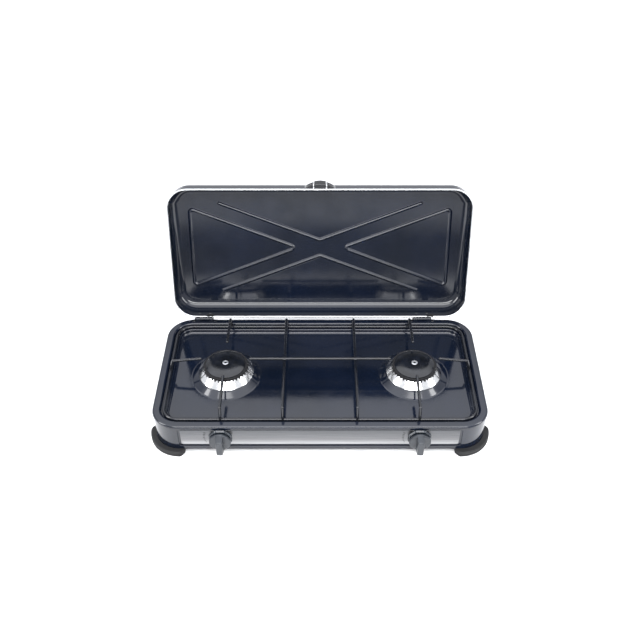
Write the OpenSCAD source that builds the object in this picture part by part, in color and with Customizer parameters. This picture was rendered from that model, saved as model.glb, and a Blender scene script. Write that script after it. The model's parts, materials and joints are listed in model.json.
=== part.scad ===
// Two-burner camping stove with a hinged lid, in millimetres.
// The origin is on the table, under the middle of the casing. +X is right, +Y is back, +Z is up.
// The lid is drawn open, leaning on its stops. Its pieces are laid out closed, then swung open.

/* [Casing] */
// Width of the casing over its rim
body_w = 520; // [480:1:560]
// Depth of the casing over its rim
body_d = 250; // [240:1:280]
// Height of the rim above the table
top_z = 60; // [58:0.5:64]
// Plan radius of the rim's corners
corner_r = 42; // [38:1:50]
// Thickness of the pressed sheet
sheet = 1; // [0.8:0.1:1.2]

/* [Hob tray] */
// Depth of the well floor below the rim
well_depth = 12.7; // [11:0.1:14]
// Height of the raised seat round each burner
boss_h = 7; // [5:0.5:8]
// Radius of the seat's foot
boss_r = 56; // [52:1:60]

/* [Burners] */
// Distance of each burner from the middle
burner_x = 152.4; // [140:0.1:165]
// Foot radius of the polished collar
collar_r = 44.5; // [40:0.5:48]
// Radius of the flame ring
ring_r = 35; // [32:0.5:38]
// Number of flame ports in each ring
port_count = 36; // [24:2:40]
// Radius of the burner cap
cap_r = 32; // [30:0.5:34]

/* [Knobs] */
// Height of the knobs' axes above the table
knob_z = 34.3; // [32:0.1:36]
// Radius of the knob's disc
knob_r = 16.8; // [14:0.1:18]
// Travel of the knob when it is pressed
push = 2.5; // [1.5:0.1:2.5]

/* [Pan grid] */
// Inset of the grid's ring from the rim's edge
grid_inset = 18; // [17.5:0.1:18.5]
// Radius of the ring's wire
ring_wire_r = 2.5; // [2:0.1:2.5]
// Radius of the bars' wire
bar_wire_r = 2.3; // [1.8:0.1:2.4]
// Height of the pan level's wires, at their middle
pan_z = 83.5; // [80:0.5:85]
// Distance of the two full bars from the middle
bar_x = 57; // [50:1:65]

/* [Lid] */
// Width of the lid
lid_w = 498.7; // [490:0.1:500]
// Depth of the lid, front to back
lid_d = 228.4; // [227:0.1:229]
// Height of the lid's skirt and panel together
lid_h = 38; // [37:0.5:45]
// Angle that the lid opens to
lid_open = 104.6; // [95:0.1:110]
// Width of the handle
handle_w = 50; // [40:1:60]

/* [Hidden] */
$fn = 48;
eps = 0.01;

// colours
anthracite = "#3a3f48";
black = "#17181a";
steel = "#c9cbcc";
brass = "#b9974f";

// casing
wall_u = 1.2;              // inset of the casing's wall from the rim's edge
wall_z = 4;                // bottom edge of the casing at its corners
arch_z = 8.5;              // bottom edge between the feet
lip_z = top_z - 3.8;       // lower edge of the tray's lip, which makes the shadow line
front_y = -body_d / 2;
panel_z = [15.5, 53];      // lower and upper edge of the front recess
trim_z = [19.1, 50.4];     // lower and upper edge of the bright strip in it
panel_x = 217.5;           // half width of the front recess
panel_depth = 1.5;
panel_y = front_y + wall_u + panel_depth;  // front face of the recessed panel
trim_t = 0.8;
trim_y = panel_y - trim_t;
corner_x = body_w / 2 - corner_r;
corner_y = body_d / 2 - corner_r;
stem_hole_r = 7.5;
gusset_z = 10.2;

// feet
foot_out = 8;              // how far a shoe stands out from the rim's outline
foot_in = 16;
foot_h = 10;
foot_leg = [8, 10];        // how far a shoe runs on past the corner's arc, along X and Y
foot_screw_r = 31;         // distance of its screw from the corner's centre

// tray
floor_z = top_z - well_depth;
ledge_z = top_z - 5.2;
seat_z = floor_z + boss_h;
seat_r = 45.6;
cup_hole_r = 30;

// burners
collar_top = seat_z + 12.8;
cap_z = collar_top + 3.7;
cap_rise = 3.5;
cup_r = 29;

// taps, on the knobs' axes
tap_y = -120;              // front end of the tap's body
tap_end = -90;
tap_r = 9;
chamber_r = 5.6;
plug_r = 5;
plug_y = -106;             // front face of the plug
stem_r = 3;
run = 0.05;                // radial clearance of a running fit
rail_y = -98;
rail_z = 19.5;
rail_r = 5;
knob_back = trim_y - 6.9;
knob_front = trim_y - 11.5;
lever_front = trim_y - 25;
bezel_front = trim_y - 4;

// gas inlet
inlet_x = 210;
inlet_z = rail_z;
inlet_r = 6.58;            // outside radius of a quarter-inch gas thread
inlet_shank_r = 6.3;       // the part of the fitting that passes through the wall
inlet_flange = 3;
inlet_thread = 12;         // free length of the thread
rear_wall = body_d / 2 - wall_u;

// grid
grid_w = body_w - 2 * grid_inset;
grid_d = body_d - 2 * grid_inset;
grid_r = corner_r - grid_inset;
grid_z = ledge_z + 0.3 + ring_wire_r;
leg_out = 0.5;             // legs stand this far outside the ring's middle
bend_r = 6;
finger_gap = 38;           // fingers stop this far from a burner's axis

// lid, laid out closed
lid_z = top_z + 1;         // lower edge of the skirt
lid_back = 116;
lid_y = lid_back - lid_d / 2;
lid_r = 35;
lid_fillet = 16;
hinge_y = 120.5;
hinge_z = 64;
hinge_places = [-200, 177];
knuckle_r = 2.6;
rivet_y = 119.2;           // rivets of the brackets, clear of the closed lid
hinge_pin_r = 1.5;
bead_r = 2.2;              // half the width of a pressed bead
bead_out = 1.4;            // how far a bead stands in from the panel
hem_r = 1.1;

// points along an arc, from angle a0 to a1
function arc(x, z, r, a0, a1, n = 6) =
    [for (i = [0:n]) let (a = a0 + (a1 - a0) * i / n) [x + r * cos(a), z + r * sin(a)]];
function reversed(points) = [for (i = [len(points) - 1:-1:0]) points[i]];

// a section of inset and height, swept along one straight side
module side(length, half, section) {
    translate([-length / 2, 0, 0]) rotate([90, 0, 90])
        linear_extrude(length) polygon([for (p = section) [p.x - half, p.y]]);
}

// the same section, swept all round a rounded rectangle
module around(w, d, r, section) {
    turned = [for (p = section) [r - p.x, p.y]];
    for (s = [0, 180]) rotate(s) {
        side(w - 2 * r, d / 2, section);
        translate([w / 2 - r, d / 2 - r, 0]) rotate_extrude(angle = 90) polygon(turned);
        rotate(90) side(d - 2 * r, w / 2, section);
        translate([r - w / 2, d / 2 - r, 0]) rotate(90) rotate_extrude(angle = 90) polygon(turned);
    }
}

// a round-cornered plate in the XZ plane, from depth y0 to y1
module front_plate(x, z, r, y0, y1) {
    translate([0, y1, 0]) rotate([90, 0, 0]) linear_extrude(y1 - y0) union() {
        translate([-x + r, z[0]]) square([2 * (x - r), z[1] - z[0]]);
        translate([-x, z[0] + r]) square([2 * x, z[1] - z[0] - 2 * r]);
        for (cx = [-x + r, x - r], cz = [z[0] + r, z[1] - r]) translate([cx, cz]) circle(r);
    }
}

// a cylinder along Y, from y0 to y1
module rod_y(r, y0, y1) {
    translate([0, y1, 0]) rotate([90, 0, 0]) cylinder(r = r, h = y1 - y0);
}

// a profile of radius and distance turned about an axis that points to +Y
module turn_y(points) {
    rotate([-90, 0, 0]) rotate_extrude() polygon(points);
}

module at_burner(sign) {
    translate([sign * burner_x, 0, 0]) children();
}

module at_knob(sign) {
    translate([sign * burner_x, 0, knob_z]) children();
}

module at_corner(sx, sy) {
    translate([sx * corner_x, sy * corner_y, 0]) rotate(sx * sy > 0 ? 0 : 90) rotate(sy > 0 ? 0 : 180)
        children();
}

module on_lid() {
    translate([0, hinge_y, hinge_z]) rotate([-lid_open, 0, 0]) translate([0, -hinge_y, -hinge_z])
        children();
}

// ---- casing ----

function casing_line(t) = concat([[wall_u + t, wall_z]],
    arc(wall_u + 2.5, top_z - 3.7, 2.5 - t, 180, 90), [[9, top_z - 1.2 - t]]);

module casing_arches() {
    // the wall's lower edge is cut back between the feet, with round ends
    for (s = [0, 180]) rotate(s) {
        front_plate(corner_x - foot_leg.x + 8, [-10, arch_z], 4, front_y - 1, front_y + 5);
        rotate(90) front_plate(corner_y - foot_leg.y + 6, [-10, arch_z], 4, -body_w / 2 - 1, -body_w / 2 + 5);
    }
}

module casing_flange() {
    // turned in along the lower edges, between the feet
    for (s = [-1, 1]) {
        translate([-corner_x + 20, s * (body_d / 2 - wall_u - 6) - 5, arch_z])
            cube([2 * corner_x - 40, 10, sheet]);
        translate([s * (body_w / 2 - wall_u - 6) - 5, -corner_y + 14, arch_z])
            cube([10, 2 * corner_y - 28, sheet]);
    }
}

module casing_gussets() {
    for (sx = [-1, 1], sy = [-1, 1]) at_corner(sx, sy) difference() {
        translate([0, 0, gusset_z]) intersection() {
            cylinder(r = corner_r - wall_u - sheet / 2, h = sheet);
            translate([10, 10, -1]) cube(corner_r);
        }
        translate([foot_screw_r * cos(45), foot_screw_r * sin(45), 0]) cylinder(r = 2.1, h = 20);
    }
}

module casing() {
    color(anthracite) difference() {
        union() {
            difference() {
                around(body_w, body_d, corner_r, concat(casing_line(0), reversed(casing_line(sheet))));
                front_plate(panel_x, panel_z, 3, front_y - 1, panel_y + sheet);
            }
            difference() {
                front_plate(panel_x + sheet, panel_z + [-sheet, sheet], 4, front_y + wall_u + 0.1,
                    panel_y + sheet);
                front_plate(panel_x, panel_z, 3, front_y, panel_y);
            }
            casing_gussets();
        }
        casing_arches();
        for (s = [-1, 1]) at_knob(s) rod_y(stem_hole_r, front_y, tap_y + 2);
        translate([inlet_x, 0, inlet_z]) rod_y(inlet_shank_r + 0.2, rear_wall - 5, rear_wall + 2);
        bracket_rivet_holes();
    }
    color(anthracite) difference() {
        casing_flange();
        for (x = [-1, 1], y = [-1, 1]) translate([x * 75, y * 114, 0]) cylinder(r = 2.1, h = 20);
    }
}

module front_trim() {
    color(steel) difference() {
        front_plate(panel_x - 3.5, trim_z, 2, trim_y, panel_y);
        for (s = [-1, 1]) at_knob(s) rod_y(stem_hole_r, trim_y - 1, panel_y + 1);
    }
}

// flame scale: a tapering row of strokes on an arc, beside each knob
module scale_marks() {
    mark_r = 24;
    color(black) for (s = [-1, 1], i = [0:6]) at_knob(s)
        rotate([0, -(66 + i * 8), 0]) translate([-0.5, trim_y - 0.2, mark_r])
            cube([1, 0.2, 3.8 - i * 0.4]);
}

// ---- hob tray ----

function tray_line(t) = concat([[t, lip_z]],
    arc(3.5, top_z - 3.5, 3.5 - t, 180, 90),
    arc(10, top_z - 3, 3 - t, 90, 0),
    arc(14.5, ledge_z + 1.5, 1.5 + t, 180, 270, 4),
    arc(20.5, ledge_z - 2, 2 - t, 90, 0),
    arc(26.5, floor_z + 4, 4 + t, 180, 270),
    [[corner_r, floor_z - t]]);

module hob_tray() {
    color(anthracite) difference() {
        union() {
            around(body_w, body_d, corner_r, concat(tray_line(0), reversed(tray_line(sheet))));
            translate([-corner_x, -corner_y, floor_z - sheet]) cube([2 * corner_x, 2 * corner_y, sheet]);
            for (s = [-1, 1]) at_burner(s) translate([0, 0, floor_z])
                cylinder(r1 = boss_r, r2 = seat_r, h = boss_h);
        }
        for (s = [-1, 1]) at_burner(s) {
            translate([0, 0, floor_z - sheet - 1]) cylinder(r = boss_r - 3, h = 1 + eps);
            translate([0, 0, floor_z - sheet]) cylinder(r1 = boss_r - 1.4, r2 = seat_r - 1, h = boss_h);
            translate([0, 0, seat_z - sheet - eps]) cylinder(r = cup_hole_r, h = 5);
        }
        bracket_rivet_holes();
    }
}

// ---- feet and base ----

module foot(sx, sy) {
    outer = corner_r + foot_out;
    inner = corner_r - foot_in;
    leg = sx * sy > 0 ? foot_leg : [foot_leg.y, foot_leg.x];
    color(black) difference() {
        at_corner(sx, sy) difference() {
            linear_extrude(foot_h) polygon(concat(
                [[-leg.x, inner], [-leg.x, corner_r]], arc(0, 0, outer, 90, 0, 16),
                [[corner_r, -leg.y], [inner, -leg.y]], arc(0, 0, inner, 0, 90, 12)));
            translate([foot_screw_r * cos(45), foot_screw_r * sin(45), -1]) {
                cylinder(r = 2.2, h = 20);
                cylinder(r = 4, h = 3.4);
            }
        }
        around(body_w, body_d, corner_r,
            [[wall_u - 0.2, wall_z - 0.2], [wall_u - 0.2, 20], [wall_u + 1.2, 20], [wall_u + 1.2, wall_z - 0.2]]);
    }
}

module screw(shank_r, length, head_r, head_h) {
    // head down, with a cross slot, shank up
    difference() {
        union() {
            cylinder(r = head_r, h = head_h);
            cylinder(r = shank_r, h = length);
        }
        for (a = [0, 90]) rotate(a) translate([-head_r * 0.6, -0.4, -1]) cube([head_r * 1.2, 0.8, 1.8]);
    }
}

module foot_screws() {
    color(steel) for (sx = [-1, 1], sy = [-1, 1]) at_corner(sx, sy)
        translate([foot_screw_r * cos(45), foot_screw_r * sin(45), 0.6]) screw(1.9, 14, 3.6, 1.7);
}

module base_straps() {
    color(steel) for (s = [-1, 1]) translate([s * 75, 0, arch_z + sheet]) difference() {
        union() {
            translate([-9, -118, 0]) cube([18, 236, 1.5]);
            // a shallow rib stiffens each strap
            translate([-2, -100, 1.5]) cube([4, 200, 1.5]);
        }
        for (y = [-114, 114]) translate([0, y, -1]) cylinder(r = 2.1, h = 5);
    }
}

module strap_screws() {
    color(steel) for (x = [-75, 75], y = [-114, 114])
        translate([x, y, arch_z - 1.6]) screw(1.9, 7, 3.6, 1.6);
}

// ---- pan grid ----

module grid_ring() {
    color(black) translate([0, 0, grid_z]) {
        for (s = [0, 180]) rotate(s) {
            translate([0, -grid_d / 2, 0]) rotate([0, 90, 0])
                cylinder(r = ring_wire_r, h = grid_w - 2 * grid_r, center = true);
            translate([grid_w / 2, 0, 0]) rotate([90, 0, 0])
                cylinder(r = ring_wire_r, h = grid_d - 2 * grid_r, center = true);
            for (a = [0, 90]) rotate(a)
                translate((a == 0 ? [grid_w, grid_d] : [grid_d, grid_w]) / 2 - [grid_r, grid_r])
                    rotate_extrude(angle = 90) translate([grid_r, 0]) circle(ring_wire_r);
        }
    }
}

// one leg of wire at y = -out: up from the ring, round the bend, then in to y = -tip
module leg_wire(out, tip) {
    foot_z = grid_z + 1.6;
    translate([0, -out, foot_z]) cylinder(r = bar_wire_r, h = pan_z - bend_r - foot_z);
    translate([0, bend_r - out, pan_z - bend_r]) rotate([90, 0, -90])
        rotate_extrude(angle = 90) translate([bend_r, 0]) circle(bar_wire_r);
    translate([0, bend_r - out, pan_z]) rotate([-90, 0, 0])
        cylinder(r = bar_wire_r, h = out - bend_r - tip);
}

module grid_bars() {
    leg_y = grid_d / 2 + leg_out;
    color(black) {
        for (x = [-bar_x, bar_x], s = [0, 180]) translate([x, 0, 0]) rotate(s) leg_wire(leg_y, 0);
        // the cross wire reaches past both bars and ends short of each burner
        translate([0, 0, pan_z]) rotate([0, 90, 0])
            cylinder(r = bar_wire_r - 0.1, h = 2 * (burner_x - finger_gap), center = true);
    }
}

module grid_fingers() {
    color(black) for (s = [-1, 1]) at_burner(s) {
        for (a = [0, 180]) rotate(a) leg_wire(grid_d / 2 + leg_out, finger_gap);
        rotate(s * 90) leg_wire(grid_w / 2 + leg_out - burner_x, finger_gap);
    }
}

// ---- gas rail and inlet ----

module manifold_rail() {
    left = -burner_x - 14;
    color(steel) difference() {
        translate([left, rail_y, rail_z]) rotate([0, 90, 0]) cylinder(r = rail_r, h = inlet_x - left - 8);
        translate([left + 2, rail_y, rail_z]) rotate([0, 90, 0]) cylinder(r = rail_r - 1, h = inlet_x - left);
        for (s = [-1, 1]) translate([s * burner_x, rail_y, rail_z]) cylinder(r = 3 + run, h = 20);
    }
}

module supply_tube() {
    // an elbow at the end of the rail, then a straight run back to the inlet
    color(steel) translate([inlet_x - 8, rail_y + 8, rail_z]) {
        rotate(-90) rotate_extrude(angle = 90) translate([8, 0]) difference() {
            circle(rail_r);
            circle(rail_r - 1);
        }
        translate([8, 0, 0]) difference() {
            rod_y(rail_r, 0, 96 - rail_y - 8);
            rod_y(rail_r - 1, -1, 120 - rail_y);
        }
    }
}

module inlet_nipple() {
    // a bulkhead fitting: its flange is outside the rear wall and its nut inside
    color(brass) translate([inlet_x, 0, inlet_z]) difference() {
        union() {
            rod_y(8.5, 96, 110);
            rod_y(inlet_shank_r, 110, rear_wall + 1);
            rod_y(9, rear_wall, rear_wall + inlet_flange);
            rod_y(inlet_r, rear_wall + inlet_flange, rear_wall + inlet_flange + inlet_thread);
        }
        rod_y(3, 90, 150);
    }
}

module inlet_nut() {
    color(steel) translate([inlet_x, 0, inlet_z]) difference() {
        translate([0, rear_wall - sheet - 0.05, 0]) rotate([90, 0, 0]) cylinder(r = 9.2, h = 5, $fn = 6);
        rod_y(inlet_shank_r + 0.02, 100, 130);
    }
}

module pipe_clips() {
    // saddle clips hold the rail to the straps
    color(steel) for (s = [-1, 1]) translate([s * 75, rail_y, 0]) difference() {
        union() {
            translate([-4, 0, rail_z]) rotate([0, 90, 0]) cylinder(r = rail_r + 1.2, h = 8);
            translate([-4, -3, arch_z + sheet + 3]) cube([8, 6, rail_z - arch_z - sheet - 3]);
        }
        translate([-5, 0, rail_z]) rotate([0, 90, 0]) cylinder(r = rail_r + 0.05, h = 10);
    }
}

// ---- taps, drawn on an axis along +Y ----

module tap_body(sign) {
    color(brass) at_knob(sign) difference() {
        union() {
            rod_y(tap_r, tap_y + 3, tap_end);
            // the saddle that sits on the rail, and its spigot
            translate([0, rail_y, rail_z + rail_r - knob_z]) cylinder(r = 6, h = knob_z - rail_z - rail_r);
            translate([0, rail_y, rail_z - knob_z + 1]) cylinder(r = 3, h = knob_z - rail_z);
        }
        rod_y(chamber_r, tap_y, plug_y);
        rod_y(plug_r + run, plug_y - eps, tap_end - 2);
        translate([0, rail_y, rail_z - knob_z - 1]) cylinder(r = 1.6, h = knob_z - rail_z + 1);
        rod_y(1.6, tap_end - 4, tap_end + 2);
    }
}

module tap_nut(sign) {
    // closes the tap's chamber and carries the stem
    color(brass) at_knob(sign) difference() {
        translate([0, tap_y + 3, 0]) rotate([90, 0, 0]) cylinder(r = 9.5, h = 3, $fn = 6);
        rod_y(stem_r + run, tap_y - 2, tap_y + 5);
    }
}

module tap_plug(sign) {
    color(brass) at_knob(sign) difference() {
        rod_y(plug_r, plug_y, tap_end - 3);
        // the slot that the stem's tongue turns, and the gas way
        translate([-1.05, plug_y - 1, -6]) cube([2.1, 8, 12]);
        translate([0, rail_y, -6]) cylinder(r = 1.5, h = 6);
        rod_y(1.5, rail_y, tap_end);
    }
}

module tap_stem(sign) {
    color(brass) at_knob(sign) difference() {
        union() {
            rod_y(stem_r, knob_front + 2, -112);
            rod_y(4.8, -116.6, -115.2);
            translate([-0.95, -112 - eps, -3]) cube([1.9, 8.5, 6]);
        }
        // the flat that keys the knob
        translate([1.8, knob_front, -5]) cube([5, 8, 10]);
    }
}

// the spring is drawn at its pressed length, against the stem's collar
function ring_at(a, r, wire, pitch, sides) =
    [for (k = [0:sides - 1]) let (b = k * 360 / sides, q = r + wire * cos(b))
        [q * cos(a), wire * sin(b) + pitch * a / 360, q * sin(a)]];

module tap_spring(sign) {
    turns = 3;
    per_turn = 14;
    sides = 6;
    wire = 0.4;
    pitch = 1.6;
    rings = turns * per_turn;
    points = [for (i = [0:rings]) each ring_at(i * 360 / per_turn, 4.1, wire, pitch, sides)];
    skin = [for (i = [0:rings - 1], k = [0:sides - 1])
        let (a = i * sides + k, b = i * sides + (k + 1) % sides) [a, a + sides, b + sides, b]];
    ends = [[for (k = [0:sides - 1]) k], [for (k = [sides - 1:-1:0]) rings * sides + k]];
    color(steel) at_knob(sign) translate([0, -114.7, 0]) polyhedron(points, concat(skin, ends));
}

module knob_bezel(sign) {
    color(black) at_knob(sign) difference() {
        turn_y([[stem_hole_r, trim_y], [18.5, trim_y], [18.5, trim_y - 2], [17.3, bezel_front],
            [14.5, bezel_front], [13.5, bezel_front + 1.5], [stem_hole_r, bezel_front + 1.5]]);
        for (i = [0:11]) rotate([0, i * 30, 0]) translate([18.9, trim_y - 2, 0]) rotate([0, 0, 45])
            cube([1.2, 1.2, 5], center = true);
    }
}

module knob(sign) {
    color(black) at_knob(sign) difference() {
        union() {
            turn_y([[0, knob_back], [knob_r - 0.8, knob_back], [knob_r, knob_back - 0.8],
                [knob_r, knob_front + 1], [knob_r - 1, knob_front], [0, knob_front]]);
            rod_y(5.5, knob_back - eps, knob_back + 4);
            intersection() {
                rod_y(knob_r - 0.4, lever_front, knob_front + eps);
                translate([-5.5, lever_front, -20]) cube([11, 20, 40]);
            }
        }
        // the keyed bore for the stem
        difference() {
            rod_y(stem_r + 0.02, knob_front + 1.8, knob_back + 5);
            translate([1.82, knob_front, -5]) cube([5, 8, 10]);
        }
        // the pointer line, let into the lever's upper end
        translate([-0.8, lever_front - 1, 6]) cube([1.6, 1.6, 12]);
    }
}

module injector(sign) {
    color(brass) at_knob(sign) difference() {
        union() {
            translate([0, tap_end + 5, 0]) rotate([90, 0, 0]) cylinder(r = 6, h = 5, $fn = 6);
            turn_y([[0, tap_end + 5], [4, tap_end + 5], [2, tap_end + 10], [0, tap_end + 10]]);
        }
        rod_y(1.6, tap_end - 1, tap_end + 7);
        rod_y(0.5, tap_end + 6, tap_end + 12);
    }
}

module mixer_tube(sign) {
    mouth = tap_end + 7;
    inside = -25;
    color(steel) at_knob(sign) difference() {
        turn_y([[11.5, mouth], [9, mouth + 12], [9, inside], [8, inside], [8, mouth + 12], [10.5, mouth]]);
        // air ports behind the mouth
        for (a = [0:90:270]) rotate([0, a + 45, 0]) translate([6, mouth + 16, -2.5]) cube([6, 9, 5]);
    }
}

// ---- burners, drawn on an axis along +Z ----

module burner_cup(sign) {
    low = 21;
    color(steel) at_burner(sign) difference() {
        rotate_extrude() polygon([[0, low], [cup_r - 4, low], [cup_r, low + 4], [cup_r, collar_top - 4],
            [cup_r - 1.5, collar_top - 4], [cup_r - 1.5, low + 4.6], [cup_r - 4.6, low + 1.5],
            [0, low + 1.5]]);
        translate([0, 0, knob_z]) rod_y(9 + run, -40, 0);
    }
}

module burner_collar(sign) {
    t = 0.8;
    flat = cup_r + 0.3;
    color(steel) at_burner(sign) rotate_extrude() polygon(concat(
        [[collar_r, seat_z], [collar_r, seat_z + 1.2]],
        [[ring_r, collar_top - 1.2]], arc(ring_r - 1.2, collar_top - 1.2, 1.2, 0, 90, 4),
        [[flat, collar_top], [flat, collar_top - t], [ring_r - 1.6, collar_top - t],
            [collar_r - 1.2, seat_z + 0.8], [collar_r - 1.2, seat_z]]));
}

module flame_ring(sign) {
    h = cap_z - collar_top - 0.1;
    color(steel) at_burner(sign) difference() {
        union() {
            translate([0, 0, collar_top]) cylinder(r = ring_r, h = h);
            translate([0, 0, collar_top - 3.9]) cylinder(r = cup_r - 1.6, h = 4);
        }
        translate([0, 0, collar_top - 5]) cylinder(r = 20, h = 20);
        for (i = [0:port_count - 1]) rotate((i + 0.5) * 360 / port_count)
            translate([ring_r - 5.5, -1.1, collar_top + 0.9]) cube([8, 2.2, 5]);
        translate([0, 0, collar_top + 0.9]) rotate_extrude() translate([19, 0]) square([11, 5]);
    }
}

module burner_cap(sign) {
    // a dished enamel disc: a shallow dome over a rounded edge
    dome_r = (cap_r * cap_r + cap_rise * cap_rise) / (2 * cap_rise);
    edge = asin((cap_r - 1) / dome_r);
    color(black) at_burner(sign) difference() {
        rotate_extrude() polygon(concat([[0, cap_z - 2.5], [18, cap_z - 2.5], [19.5, cap_z], [cap_r - 0.6, cap_z],
            [cap_r, cap_z + 0.5], [cap_r - 0.2, cap_z + 0.9]],
            arc(0, cap_z + cap_rise - dome_r + 0.5, dome_r, 90 - edge, 90, 10)));
        translate([0, 0, cap_z - 5]) cylinder(r = 2.1, h = 20);
    }
}

module cap_screw(sign) {
    color(steel) at_burner(sign) translate([0, 0, cap_z + cap_rise + 0.5]) difference() {
        union() {
            translate([0, 0, -8]) cylinder(r = 2, h = 8);
            rotate_extrude() polygon([[0, 0], [4.4, 0], [4.4, 0.5], [3.4, 1.1], [0, 1.1]]);
        }
        translate([-3, -0.4, 0.5]) cube([6, 0.8, 2]);
    }
}

// ---- lid, laid out closed ----

function lid_line(t) = concat(
    arc(lid_fillet, lid_z + lid_h - lid_fillet, lid_fillet - t, 180, 90, 10),
    [[lid_r, lid_z + lid_h - t]]);

// the skirt's edge is rolled into a hem round the middle of the sheet
hem_cut = acos(sheet / 2 / hem_r);
lid_section = concat(arc(sheet / 2, lid_z + hem_r, hem_r, hem_cut, -180 - hem_cut, 11),
    lid_line(0), reversed(lid_line(sheet)));

// pressed beads: a cross of two Vs, and a closed triangle at each side
module bead(from, to) {
    step = to - from;
    translate(from) rotate(atan2(step.y, step.x)) {
        translate([0, -bead_r]) square([norm(step), 2 * bead_r]);
        circle(bead_r, $fn = 24);
        translate([norm(step), 0]) circle(bead_r, $fn = 24);
    }
}

module lid_beads() {
    translate([0, lid_y, lid_z + lid_h - sheet - bead_out]) linear_extrude(bead_out + sheet / 2)
        for (s = [-1, 1]) {
            for (v = [-1, 1]) {
                bead([s * 168, v * 79], [0, v * 14]);
                bead([s * 218, v * 70], [s * 38.5, 0]);
            }
            bead([s * 218, -70], [s * 218, 70]);
        }
}

module lid_shell() {
    color(anthracite) on_lid() difference() {
        union() {
            translate([0, lid_y, 0]) {
                around(lid_w, lid_d, lid_r, lid_section);
                translate([lid_r - lid_w / 2, lid_r - lid_d / 2, lid_z + lid_h - sheet])
                    cube([lid_w - 2 * lid_r, lid_d - 2 * lid_r, sheet]);
            }
            lid_beads();
        }
        for (x = hinge_places, s = [-9, 9]) translate([x + s, 0, 76]) rod_y(1.65, 110, 120);
        for (s = [-1, 1]) translate([s * 14, 0, 72]) rod_y(1.65, lid_back - lid_d - 5, lid_back - lid_d + 5);
    }
}

module lid_handle() {
    reach = 10;
    lens_r = (handle_w * handle_w / 4 + reach * reach) / (2 * reach);
    lid_front = lid_back - lid_d - 0.05;
    color(black) on_lid() difference() {
        translate([0, 0, 64]) intersection() {
            translate([0, lid_front - reach + lens_r, 0]) cylinder(r = lens_r, h = 16, $fn = 96);
            translate([-handle_w / 2, lid_front - reach, 0]) cube([handle_w, reach, 16]);
        }
        // a finger scoop under the grip
        translate([0, lid_front - reach - 4, 60]) rotate([0, 90, 0]) cylinder(r = 8, h = handle_w, center = true);
        for (s = [-1, 1]) translate([s * 14, 0, 72]) rod_y(1.65, lid_front - 6, lid_front + 1);
    }
}

module handle_screws() {
    inner = lid_back - lid_d + sheet;
    color(steel) on_lid() for (s = [-1, 1]) translate([s * 14, 0, 72]) {
        rod_y(1.6, inner - 6.5, inner);
        turn_y([[0, inner], [3, inner], [2.4, inner + 0.9], [0, inner + 1.2]]);
    }
}

module lid_buffers() {
    // rubber pads inside the skirt, notched over the hem and proud of its edge by most of the gap to the rim
    skirt = lid_d / 2 - sheet - 0.05;
    hem = lid_d / 2 - sheet / 2 - hem_r - 0.05;
    face = skirt - 1.5;
    color(black) on_lid() translate([0, lid_y, lid_z]) for (x = [-190, 190], s = [0, 180]) rotate(s)
        translate([x - 6, 0, 0]) {
            translate([0, face, -0.7]) cube([12, hem - face, 7]);
            translate([0, face, 2 * hem_r + 0.05]) cube([12, skirt - face, 6.3 - 2 * hem_r - 0.05]);
        }
}

module hinge_leaf(x) {
    color(steel) on_lid() translate([x, 0, 0]) difference() {
        union() {
            translate([-14, lid_back + 0.05, 66]) cube([28, 1, 15]);
            translate([-7.6, lid_back + 0.05, hinge_z]) cube([15.2, hinge_y - lid_back, 2.4]);
            translate([-7.6, hinge_y, hinge_z]) rotate([0, 90, 0]) cylinder(r = knuckle_r, h = 15.2);
        }
        translate([-20, hinge_y, hinge_z]) rotate([0, 90, 0]) cylinder(r = hinge_pin_r + run, h = 40);
        for (s = [-9, 9]) translate([s, 0, 76]) rod_y(1.65, 110, 120);
    }
}

module leaf_rivets() {
    outer = lid_back + 1.05;
    inner = lid_back - sheet;
    color(steel) on_lid() for (x = hinge_places, s = [-9, 9]) translate([x + s, 0, 76])
        turn_y([[0, inner - 0.8], [2.2, inner - 0.6], [2.6, inner], [1.6, inner], [1.6, outer],
            [2.6, outer], [2.2, outer + 0.7], [0, outer + 0.9]]);
}

module bracket_rivet_holes() {
    for (x = hinge_places, s = [-18, 18]) translate([x + s, rivet_y, top_z - 6]) cylinder(r = 1.65, h = 10);
}

module hinge_bracket(x) {
    color(steel) translate([x, 0, 0]) difference() {
        union() {
            translate([-22, 116.8, top_z]) cube([44, 5.4, 1]);
            for (s = [-1, 1]) translate([s * 11.5 - 3.5, 0, 0]) {
                translate([0, hinge_y - knuckle_r, top_z + 1 - eps]) cube([7, 6.9, 1.5]);
                translate([0, hinge_y - knuckle_r, top_z + 1]) cube([7, 2 * knuckle_r, 3]);
                translate([0, hinge_y + 3.1, top_z + 1]) cube([7, 1.2, 5.3]);
                translate([0, hinge_y, hinge_z]) rotate([0, 90, 0]) cylinder(r = knuckle_r, h = 7);
            }
        }
        translate([-30, hinge_y, hinge_z]) rotate([0, 90, 0]) cylinder(r = hinge_pin_r + 0.02, h = 60);
        for (s = [-18, 18]) translate([s, rivet_y, top_z - 1]) cylinder(r = 1.65, h = 5);
    }
}

module bracket_rivets() {
    low = top_z - 2.2;
    color(steel) for (x = hinge_places, s = [-18, 18]) translate([x + s, rivet_y, 0])
        rotate_extrude() polygon([[0, low - 0.8], [1.8, low - 0.6], [2.1, low], [1.6, low],
            [1.6, top_z + 1], [2.3, top_z + 1], [1.9, top_z + 1.6], [0, top_z + 1.9]]);
}

module hinge_pin(x) {
    color(steel) translate([x - 16, hinge_y, hinge_z]) rotate([0, 90, 0]) {
        cylinder(r = hinge_pin_r, h = 32);
        translate([0, 0, -1]) cylinder(r = 2.2, h = 1.6);
    }
}

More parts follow.
